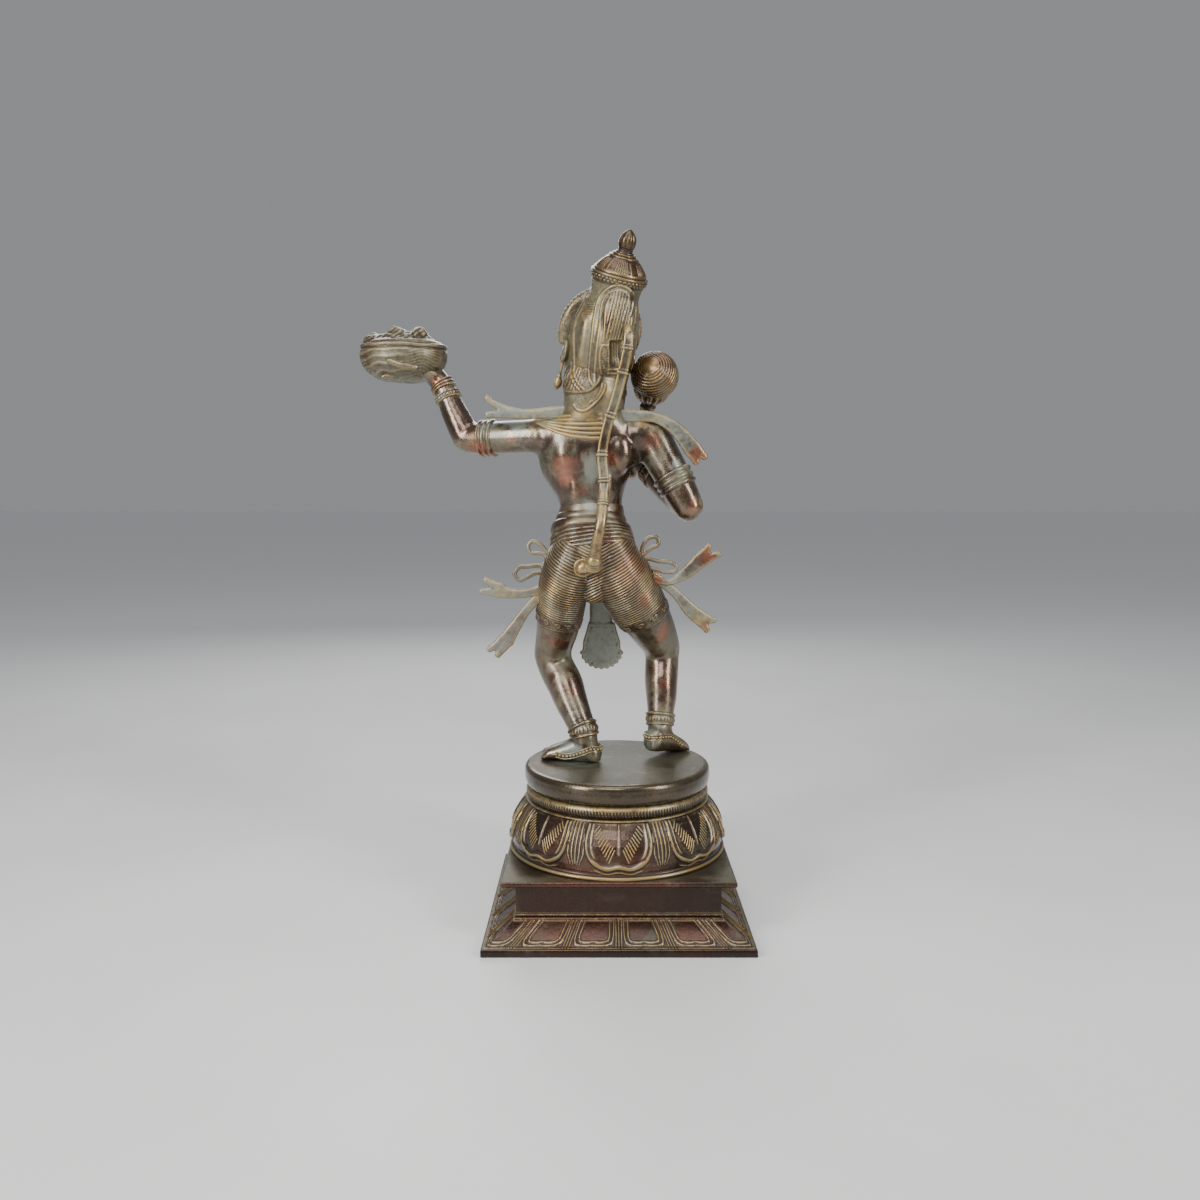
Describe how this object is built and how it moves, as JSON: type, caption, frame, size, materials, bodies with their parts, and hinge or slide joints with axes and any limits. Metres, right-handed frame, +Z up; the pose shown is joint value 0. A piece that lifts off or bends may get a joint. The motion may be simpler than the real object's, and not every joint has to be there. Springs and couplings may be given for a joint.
{
  "type": "statue",
  "caption": "Cast bronze statue of a striding Hanuman with mace, raised mountain and long tail, on a round foot disc and a square lotus pedestal.",
  "frame": {"origin": "centre of the pedestal's underside", "axes": "+Z up, the figure faces -Y, its own left hand with the mountain is on the +X side"},
  "size_m": [0.4315, 0.281, 0.7371],
  "materials": {
    "figure_bronze": "dark red-brown cast bronze, polished on the raised parts, grey-green and ochre in the hollows",
    "pedestal_bronze": "dark red-brown cast bronze with pale worn ridges and grey-green ledges"
  },
  "bodies": {
    "root": {"figure": "figure_bronze", "lotus_pedestal": "pedestal_bronze"}
  },
  "joints": []
}
